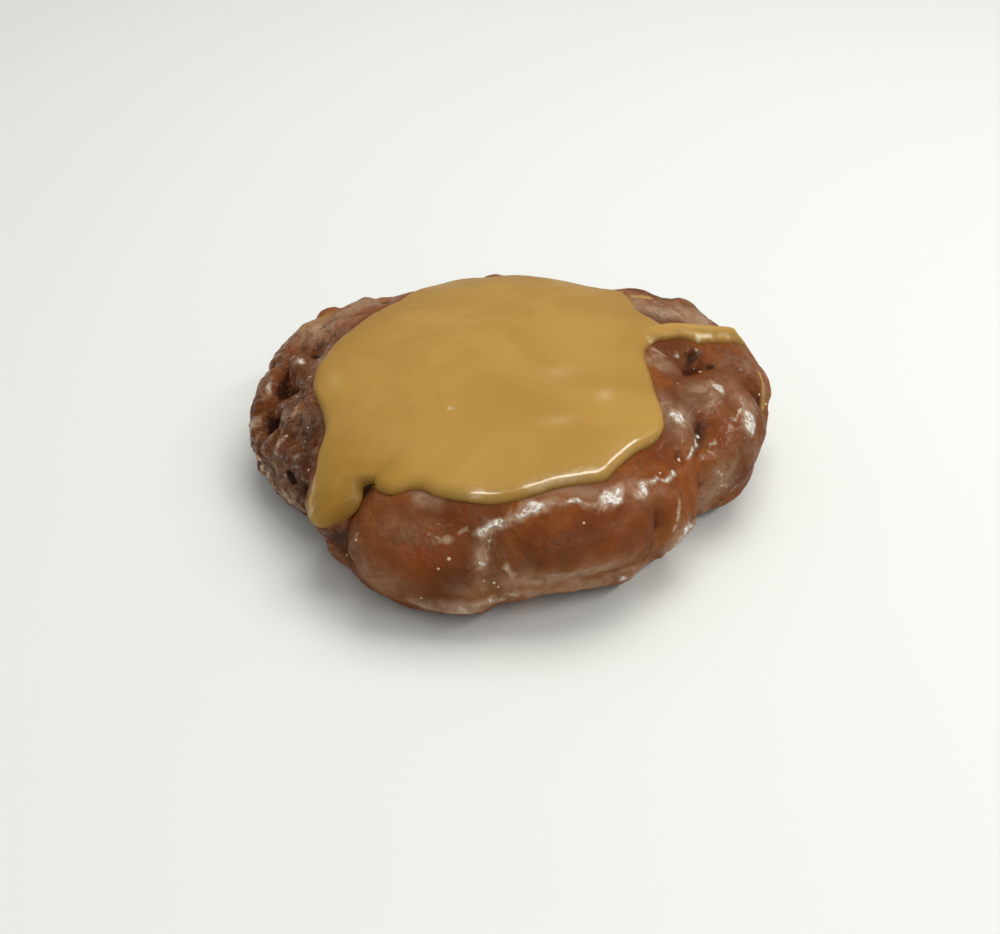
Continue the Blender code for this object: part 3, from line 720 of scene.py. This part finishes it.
paintPoints(skin, "glazeAndHighlight", marked(shaken, surface, glazeAndHighlightSpots, glazeAndHighlightLines))
paintPoints(skin, "milkAndLight", marked(shaken, surface, milkAndLightSpots, milkLines))
paintPoints(skin, "red", spotted(shaken, surface, redSpots))
paintPoints(skin, "darkAndShade", spotted(shaken, surface, darkAndShadeSpots))
paintPoints(skin, "smear", traced(barelyShaken, surface, smears))
paintPoints(skin, "craggy", roundValues(dough["craggy"], points))
paintPoints(skin, "film", roundValues(dough["film"], points))
shadeSmooth(skin)

crust = dict(
    deepBrown=(0.123, 0.038, 0.012),
    orangeBrown=(0.244, 0.071, 0.014),
    redBrown=(0.150, 0.030, 0.006),
    redSpot=(0.235, 0.046, 0.008),
    darkAndShade=(0.045, 0.019, 0.012),
    creviceShade=(0.020, 0.006, 0.003),
    haze=(0.388, 0.245, 0.151),
    white=(0.72, 0.67, 0.60),
    tan=(0.42, 0.25, 0.08),
    broadSize=22.0,
    patchSize=7.0,
    clotSize=3.4,
    fineSize=1.6,
    speckSize=0.7,
    sparkGap=2.0,
    darkShare=0.9,
    clotRagged=0.8,
    fineRagged=0.5,
    milkWet=0.15,
    coatLeast=0.02,
    coatGain=0.93,
)
crustSockets = {"IOR": 1.45, "Specular IOR Level": 0.03, "Coat Roughness": 0.13}
# where each thing begins and is full along what drives it, and its share at the two where not 0 and 1
spans = dict(
    orange=(0.36, 0.60),
    redPatches=(0.46, 0.66, 0.0, 0.7),
    brownClots=(0.54, 0.70, 0.0, 0.5),
    brownSpecks=(0.50, 0.66, 0.0, 0.38),
    brownCrags=(0.6, 1.0, 0.0, 0.75),
    redGrain=(0.3, 0.6, 0.5, 1.0),
    clear=(0.0, 0.5, 1.0, 0.0),
    filmPatches=(0.50, 0.30),
    raggedEdge=(0.04, 0.40),
    milkClots=(0.36, 0.57, 0.48, 1.06),
    haze=(0.22, 0.76, 0.0, 0.84),
    speckCracks=(0.40, 0.54, 0.20, 1.0),
    fineCracks=(0.36, 0.50, 0.4, 1.0),
    white=(0.68, 0.92),
    crestHazeAndHighlight=(-0.10, -0.55),
    crestClots=(0.42, 0.60, 0.0, 0.6),
    crevices=(0.10, 0.60, 0.0, 0.88),
    sparks=(0.14, 0.07),
    sparkClots=(0.50, 0.58),
    cragSparks=(0.3, 1.0, 0.0, 0.7),
    filmSparks=(0.30, 0.55, 0.0, 0.4),
    smears=(0.1, 0.9),
    roughGrain=(0.3, 0.7, 0.36, 0.52),
    roughHollows=(0.1, 0.6, 0.0, 0.3),
    wetGrain=(0.46, 0.62, 0.0, 0.8),
    wetCrags=(0.15, 0.90),
    wetGlaze=(0.50, 0.90, 0.0, 0.75),
    milkDulls=(0.45, 0.75, 1.0, 0.40),
    hollowsDull=(0.10, 0.50, 1.0, 0.15),
    glazeGrain=(0.6, 0.9),
)
crustFinish, tree, shader = newMaterial("glazedCrust", crustSockets)
place = objectPlace(tree)
broad = noiseOf(tree, place, crust["broadSize"], detail=3.0, rough=0.6, warp=0.4)
patchy = noiseOf(tree, place, crust["patchSize"], detail=4.0, rough=0.6, warp=0.6)
clots = noiseOf(tree, place, crust["clotSize"], detail=3.0, rough=0.6, warp=0.8)
fine = noiseOf(tree, place, crust["fineSize"], detail=3.0, rough=0.6)
speck = noiseOf(tree, place, crust["speckSize"], detail=2.0, rough=0.5)
sparks = dotsOf(tree, place, crust["sparkGap"])
hollow, glazeAndHighlightPlace, milkAndLightPlace = (painted(tree, name) for name in ("hollow", "glazeAndHighlight", "milkAndLight"))
redPlace, darkAndShadePlace, smearPlace = (painted(tree, name) for name in ("red", "darkAndShade", "smear"))
craggyPlace, filmPlace = (painted(tree, name) for name in ("craggy", "film"))

# the glaze lies where it is painted and in loose patches; it is hazy where thin and white where thick, and
# the painted highlights come out white as well
clear = between(tree, largest(tree, redPlace, darkAndShadePlace), *spans["clear"])
loose = times(tree, between(tree, patchy, *spans["filmPatches"]), filmPlace, clear)
laid = largest(tree, glazeAndHighlightPlace, loose)
ragged = calculated(tree, "ADD", swing(tree, clots, crust["clotRagged"]),
                    swing(tree, fine, crust["fineRagged"]))
thick = calculated(tree, "MULTIPLY_ADD", ragged, between(tree, laid, *spans["raggedEdge"]), laid)
# milky glaze, with the painted pool of light, the painted highlight and the painted sheen among the milky
# spots
milkyAndLight = times(tree, milkAndLightPlace, between(tree, clots, *spans["milkClots"]))
hazy = largest(tree, between(tree, thick, *spans["haze"]), milkyAndLight)
whiteGlazeAndHighlight = times(tree, between(tree, thick, *spans["white"]),
                between(tree, speck, *spans["speckCracks"]), between(tree, fine, *spans["fineCracks"]))
# pale haze on the ridge tops of the crags: partly glaze, partly a painted highlight
crestHazeAndHighlight = times(tree, between(tree, hollow, *spans["crestHazeAndHighlight"]), craggyPlace,
               between(tree, clots, *spans["crestClots"]))
# painted highlights: small white glints scattered over the crags and the film
sparkling = largest(tree, between(tree, craggyPlace, *spans["cragSparks"]),
                    between(tree, filmPlace, *spans["filmSparks"]))
paintedGlints = times(tree, between(tree, sparks, *spans["sparks"]), sparkling,
               between(tree, clots, *spans["sparkClots"]))
base = layered(tree, crust["deepBrown"], (
    (between(tree, broad, *spans["orange"]), crust["orangeBrown"]),
    (between(tree, patchy, *spans["redPatches"]), crust["redBrown"]),
    (between(tree, clots, *spans["brownClots"]), crust["deepBrown"]),
    (between(tree, speck, *spans["brownSpecks"]), crust["deepBrown"]),
    (between(tree, craggyPlace, *spans["brownCrags"]), crust["deepBrown"]),
    (times(tree, redPlace, between(tree, fine, *spans["redGrain"])), crust["redSpot"]),
    # painted shade in the pits, slots and under the tucks, and darker crust elsewhere
    (times(tree, darkAndShadePlace, crust["darkShare"]), crust["darkAndShade"]),
    (hazy, crust["haze"]),
    (crestHazeAndHighlight, crust["haze"]),
    # painted shade: the deepest hollows go nearly black
    (between(tree, hollow, *spans["crevices"]), crust["creviceShade"]),
    # white glaze, and painted highlights where the highlights are painted
    (whiteGlazeAndHighlight, crust["white"]),
    (paintedGlints, crust["white"]),
    (between(tree, smearPlace, *spans["smears"]), crust["tan"]),
))
wire(tree, base, shader.inputs["Base Color"])
rough = calculated(tree, "ADD", between(tree, fine, *spans["roughGrain"]),
                   between(tree, hollow, *spans["roughHollows"]))
wire(tree, rough, shader.inputs["Roughness"])
# the coat is the wet glaze: strong where it lies thick, and in small patches on the crags
wetCrags = times(tree, between(tree, fine, *spans["wetGrain"]),
                 between(tree, craggyPlace, *spans["wetCrags"]))
wetGlaze = times(tree, between(tree, glazeAndHighlightPlace, *spans["wetGlaze"]),
                 between(tree, milkAndLightPlace, *spans["milkDulls"]))
wet = times(tree, largest(tree, wetGlaze, wetCrags, times(tree, milkAndLightPlace, crust["milkWet"])),
            between(tree, hollow, *spans["hollowsDull"]))
coat = calculated(tree, "MULTIPLY_ADD", wet, crust["coatGain"], crust["coatLeast"])
wire(tree, coat, shader.inputs["Coat Weight"])
glazeGrain = times(tree, speck, between(tree, glazeAndHighlightPlace, *spans["glazeGrain"]))
film = bumped(tree, patchy, deep=0.5, strength=0.25)
film = bumped(tree, clots, deep=0.5, strength=0.5, under=film)
film = bumped(tree, fine, deep=0.15, strength=0.4, under=film)
film = bumped(tree, glazeGrain, deep=0.40, strength=0.9, under=film)
relief = bumped(tree, fine, deep=0.30, strength=0.6, under=film)
relief = bumped(tree, speck, deep=0.12, strength=0.5, under=relief)
relief = bumped(tree, times(tree, fine, craggyPlace), deep=1.0, strength=0.9, under=relief)
wire(tree, relief, shader.inputs["Normal"])
wire(tree, film, shader.inputs["Coat Normal"])
skin.data.materials.append(crustFinish)

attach(skin, "root")
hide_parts("dough")
print("dough finished")


# the icing: one thick caramel pool with its tongue and strand

icing = dict(voxel=0.45, smoothSteps=6, rippleSize=9.0, rippleHeight=0.12, openSpan=(0.8, 2.0),
             rimSpan=(0.2, 2.8), strandSwell=1.3, strandBack=(-0.3, 0.3), strandClear=(0.3, 1.0),
             notchDepth=1.1)
# only the far side of the strand swells, and only where it stands clear of the dough
strandLines = {
    "strand": dict(through=((674, 334), (695, 333), (715, 333), (732, 335)), amount=1.0, width=2.2),
}
notchSpots = {
    "besideTongue": dict(at=(369, 487), amount=1.0, half=(1.9, 1.5)),
}
dullSpots = {
    "tongue": dict(at=(336, 506), amount=1.0, half=(9.0, 8.0)),
    "tongueRoot": dict(at=(345, 465), amount=0.7, half=(7.0, 6.0)),
    "leftBay": dict(at=(385, 478), amount=0.6, half=(7.0, 4.0)),
}
paleSpots = {
    "dot": dict(at=(450, 408), amount=0.9, half=(0.32, 0.28)),
    "leftSmudge": dict(at=(335, 380), amount=0.08, half=(2.6, 1.2)),
    "midSmudge": dict(at=(560, 372), amount=0.12, half=(3.4, 2.0)),
    "rightSmudge": dict(at=(605, 395), amount=0.22, half=(1.8, 1.2)),
    "frontSmudge": dict(at=(560, 420), amount=0.14, half=(3.0, 1.4)),
}
# painted highlights on the strand and along the bead, and a pale fringe at the tongue's left edge
paleAndHighlightLines = {
    "strandLeft": dict(through=((698, 337), (710, 337)), amount=0.95, width=0.60),
    "strandRight": dict(through=((720, 336), (727, 337)), amount=0.35, width=0.50),
    "beadDots": dict(through=((474, 493), (482, 493)), amount=0.45, width=0.55),
    "beadGlow": dict(through=((530, 486), (548, 481), (570, 476), (590, 472)), amount=0.38, width=0.75),
    "strandRoot": dict(through=((649, 339), (652, 339)), amount=0.80, width=0.50),
    "leftFringe": dict(through=((312, 455), (309, 470), (314, 490), (312, 506), (307, 519)),
                       amount=0.55, width=0.45),
}
# the bead shines in a few broken runs
wetLines = {
    "beadLeft": dict(through=((468, 492), (480, 493), (492, 492)), amount=1.0, width=1.1),
    "beadMiddle": dict(through=((528, 485), (546, 480)), amount=0.8, width=1.1),
    "beadRight": dict(through=((556, 478), (575, 474), (592, 470), (601, 466)), amount=1.0, width=1.3),
    "beadCorner": dict(through=((609, 460), (621, 450), (633, 440)), amount=1.0, width=1.2),
}
pool = copyOfNode("icing", "caramelIcing")
reskin(pool, icing["voxel"], icing["smoothSteps"])
points, surface = readPoints(pool), treeOf(pool)
away = awayFrom(doughTree, points)
farSide = ease(*icing["strandBack"], readPoints(pool, "normal")[:, 1])
strand = traced(points, surface, strandLines) * farSide * ease(*icing["strandClear"], away)
paintGroup(pool, "open", ease(*icing["openSpan"], away))
paintGroup(pool, "strand", strand)
paintGroup(pool, "notch", spotted(points, surface, notchSpots))
pushOut(pool, "strand", icing["strandSwell"], "strand")
pushOut(pool, "notch", -icing["notchDepth"], "notch")
pushOut(pool, "ripples", icing["rippleHeight"], "open", "CLOUDS", icing["rippleSize"], noise_depth=1)
applyAll(pool)
points, surface = readPoints(pool), treeOf(pool)
# pale spots, and the painted highlights of the strand and the bead
pale = np.maximum(spotted(points, surface, paleSpots), traced(ruffled(points), surface, paleAndHighlightLines))
# darker where the icing is thin near the dough, and painted shade on the bead's underside
paintPoints(pool, "rim", 1.0 - ease(*icing["rimSpan"], awayFrom(doughTree, points)))
paintPoints(pool, "wet", traced(points, surface, wetLines))
paintPoints(pool, "dull", spotted(points, surface, dullSpots))
paintPoints(pool, "pale", pale)
shadeSmooth(pool)
print("icing shaped:", len(pool.data.polygons), "faces")

caramel = dict(
    light=(0.455, 0.260, 0.060),
    deep=(0.405, 0.225, 0.047),
    rim=(0.175, 0.072, 0.007),
    fleck=(0.60, 0.42, 0.18),
    dull=(0.335, 0.170, 0.020),
    pale=(0.76, 0.62, 0.38),
    swirlSize=26.0,
    mottleSize=5.0,
    fleckGap=7.0,
    dullShare=0.75,
    rimShare=0.8,
    dullRough=0.20,
    coatLeast=0.05,
    coatGain=0.95,
)
caramelSockets = {"IOR": 1.45, "Specular IOR Level": 0.08, "Coat Roughness": 0.14, "Subsurface Weight": 0.12,
                  "Subsurface Radius": (1.0, 0.5, 0.2), "Subsurface Scale": 1.5 * mm}
spans = dict(
    deep=(0.35, 0.65),
    mottle=(0.55, 0.75, 0.0, 0.25),
    flecks=(0.05, 0.02, 0.0, 0.6),
    satin=(0.3, 0.7, 0.38, 0.48),
)
icingFinish, tree, shader = newMaterial("caramelIcing", caramelSockets)
place = objectPlace(tree)
swirl = noiseOf(tree, place, caramel["swirlSize"], detail=3.0, rough=0.5, warp=1.6)
mottle = noiseOf(tree, place, caramel["mottleSize"], detail=2.0, rough=0.5)
flecks = dotsOf(tree, place, caramel["fleckGap"])
dullPlace, rimPlace, paleAndHighlightPlace, wetPlace = (painted(tree, name) for name in ("dull", "rim", "pale", "wet"))
base = layered(tree, caramel["light"], (
    (between(tree, swirl, *spans["deep"]), caramel["deep"]),
    (between(tree, mottle, *spans["mottle"]), caramel["light"]),
    (between(tree, flecks, *spans["flecks"]), caramel["fleck"]),
    (times(tree, dullPlace, caramel["dullShare"]), caramel["dull"]),
    # the thin edge near the dough, with painted shade under the bead
    (times(tree, rimPlace, caramel["rimShare"]), caramel["rim"]),
    # pale spots and painted highlights
    (paleAndHighlightPlace, caramel["pale"]),
))
wire(tree, base, shader.inputs["Base Color"])
# the bead along the edge is wet in places, the level top satin and the tongue dull
satin = between(tree, mottle, *spans["satin"])
rough = calculated(tree, "MULTIPLY_ADD", dullPlace, caramel["dullRough"], satin)
wire(tree, rough, shader.inputs["Roughness"])
coat = calculated(tree, "MULTIPLY_ADD", wetPlace, caramel["coatGain"], caramel["coatLeast"])
wire(tree, coat, shader.inputs["Coat Weight"])
relief = bumped(tree, swirl, deep=0.6, strength=0.2)
relief = bumped(tree, mottle, deep=0.15, strength=0.15, under=relief)
wire(tree, relief, shader.inputs["Normal"])
pool.data.materials.append(icingFinish)

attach(pool, "root")
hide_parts("icing")
print("icing finished")


# bubbles in the dried glaze, and a few loose flakes of it: each kind is made once and copied to its places

def setDown(name, pattern, surface, spots, sink):
    # copies of a small pattern standing on the surface where the camera sees the pixels, joined as one piece
    copies = []
    for spot in spots.values():
        place, outward = seenAt(surface, spot["at"])
        part = bpy.data.objects.new(name, pattern.data.copy())
        scene.collection.objects.link(part)
        stand = outward.to_track_quat("Z", "Y").to_matrix().to_4x4() @ turnAbout("Z", spot["turn"])
        foot = Matrix.Translation(place - outward * sink * spot["size"] * mm)
        part.data.transform(foot @ stand @ Matrix.Scale(spot["size"], 4))
        copies.append(part)
    bpy.data.objects.remove(pattern)
    bpy.ops.object.select_all(action="DESELECT")
    for part in copies:
        part.select_set(True)
    bpy.context.view_layer.objects.active = copies[0]
    bpy.ops.object.join()
    bpy.ops.object.shade_smooth()
    piece = bpy.context.object
    piece.name = name
    return piece


def pickPoints(piece, chosen):
    # selects the points that the test chooses, and goes back to edit mode
    bpy.ops.object.mode_set(mode="OBJECT")
    for group in (piece.data.polygons, piece.data.edges):
        for part in group:
            part.select = False
    for point in piece.data.vertices:
        point.select = chosen(point.co)
    bpy.ops.object.mode_set(mode="EDIT")


# a low dome with a wide foot, its crown pressed down and a little to one side
bubble = dict(radius=0.30, footTop=0.02, footSpread=(1.45, 1.3, 0.35), crownFoot=0.2,
              crownMove=(0.05, -0.03, -0.04), sink=0.04)
bubbleSpots = {
    "leftBump": dict(at=(449, 559), size=1.05, turn=0),
    "leftBumpLow": dict(at=(438, 569), size=0.8, turn=40),
    "valleyTop": dict(at=(489, 541), size=0.9, turn=10),
    "valleyLow": dict(at=(484, 581), size=0.7, turn=70),
    "valleyFoot": dict(at=(494, 583), size=0.9, turn=20),
    "valleyLast": dict(at=(498, 587), size=0.8, turn=50),
    "rollTop": dict(at=(584, 523), size=0.8, turn=30),
    "tongueFoot": dict(at=(347, 555), size=0.8, turn=0),
    "frontFoot": dict(at=(421, 598), size=0.8, turn=15),
    "crackleTail": dict(at=(660, 473), size=0.8, turn=60),
    "crackleEnd": dict(at=(675, 473), size=0.7, turn=25),
    "rightStreak": dict(at=(703, 458), size=0.7, turn=35),
    "rightEdge": dict(at=(766, 404), size=0.9, turn=5),
    "rightEdgeUp": dict(at=(759, 395), size=0.8, turn=45),
    "besideTongue": dict(at=(394, 491), size=0.6, turn=0),
    "tongueSide": dict(at=(356, 540), size=0.8, turn=65),
}
bpy.ops.object.select_all(action="DESELECT")
bpy.ops.mesh.primitive_ico_sphere_add(subdivisions=2, radius=bubble["radius"] * mm)
dome = bpy.context.object
pickPoints(dome, lambda co: co.z < bubble["footTop"] * mm)
bpy.ops.transform.resize(value=bubble["footSpread"])
pickPoints(dome, lambda co: co.z > bubble["crownFoot"] * mm)
bpy.ops.transform.translate(value=[step * mm for step in bubble["crownMove"]])
bpy.ops.object.mode_set(mode="OBJECT")
bubbles = setDown("glazeBubbles", dome, treeOf(skin), bubbleSpots, bubble["sink"])

# an uneven chip: drawn out at one side, cut in at another, and smaller at the top
flake = dict(corners=9, radius=0.75, thick=0.30, longSide=0.2, longScale=(1.5, 0.55, 1.0), cutSide=-0.3,
             cutMove=(-0.2, 0.15, 0.0), topScale=(0.8, 0.7, 1.0), bevel=0.07, bevelSteps=2, sink=0.12)
flakeSpots = {
    "leftSide": dict(at=(259, 459), size=1.2, turn=0),
    "leftSideLow": dict(at=(263, 467), size=1.0, turn=70),
    "leftSideFoot": dict(at=(268, 474), size=0.7, turn=130),
    "rightNick": dict(at=(679, 460), size=0.8, turn=20),
    "leftRidge": dict(at=(286, 436), size=0.6, turn=200),
    "crater": dict(at=(700, 372), size=0.6, turn=90),
    "leftFace": dict(at=(309, 470), size=0.6, turn=40),
}
bpy.ops.object.select_all(action="DESELECT")
bpy.ops.mesh.primitive_circle_add(vertices=flake["corners"], radius=flake["radius"] * mm, fill_type="NGON")
chip = bpy.context.object
pickPoints(chip, lambda co: co.x > flake["longSide"] * mm)
bpy.ops.transform.resize(value=flake["longScale"])
pickPoints(chip, lambda co: co.y < flake["cutSide"] * mm)
bpy.ops.transform.translate(value=[step * mm for step in flake["cutMove"]])
bpy.ops.mesh.select_all(action="SELECT")
bpy.ops.mesh.extrude_region_move(TRANSFORM_OT_translate=dict(value=(0.0, 0.0, flake["thick"] * mm)))
bpy.ops.transform.resize(value=flake["topScale"])
bpy.ops.mesh.select_all(action="SELECT")
bpy.ops.mesh.normals_make_consistent(inside=False)
bpy.ops.object.mode_set(mode="OBJECT")
soft = chip.modifiers.new("soft", "BEVEL")
soft.width = flake["bevel"] * mm
soft.segments = flake["bevelSteps"]
applyAll(chip)
flakes = setDown("glazeFlakes", chip, treeOf(skin), flakeSpots, flake["sink"])

dried = dict(pale=(0.62, 0.48, 0.33), brown=(0.40, 0.22, 0.11), cloudSize=0.8, brownSpan=(0.35, 0.65),
             roughSpan=(0.3, 0.7, 0.12, 0.30))
driedFinish, tree, shader = newMaterial("driedGlaze", {})
cloud = noiseOf(tree, objectPlace(tree), dried["cloudSize"], detail=3.0)
base = blended(tree, between(tree, cloud, *dried["brownSpan"]), dried["pale"], dried["brown"])
wire(tree, base, shader.inputs["Base Color"])
wire(tree, between(tree, cloud, *dried["roughSpan"]), shader.inputs["Roughness"])
wire(tree, bumped(tree, cloud, deep=0.05, strength=0.4), shader.inputs["Normal"])
for piece in (bubbles, flakes):
    piece.data.materials.append(driedFinish)
    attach(piece, "root")
print("bubbles and flakes set down")
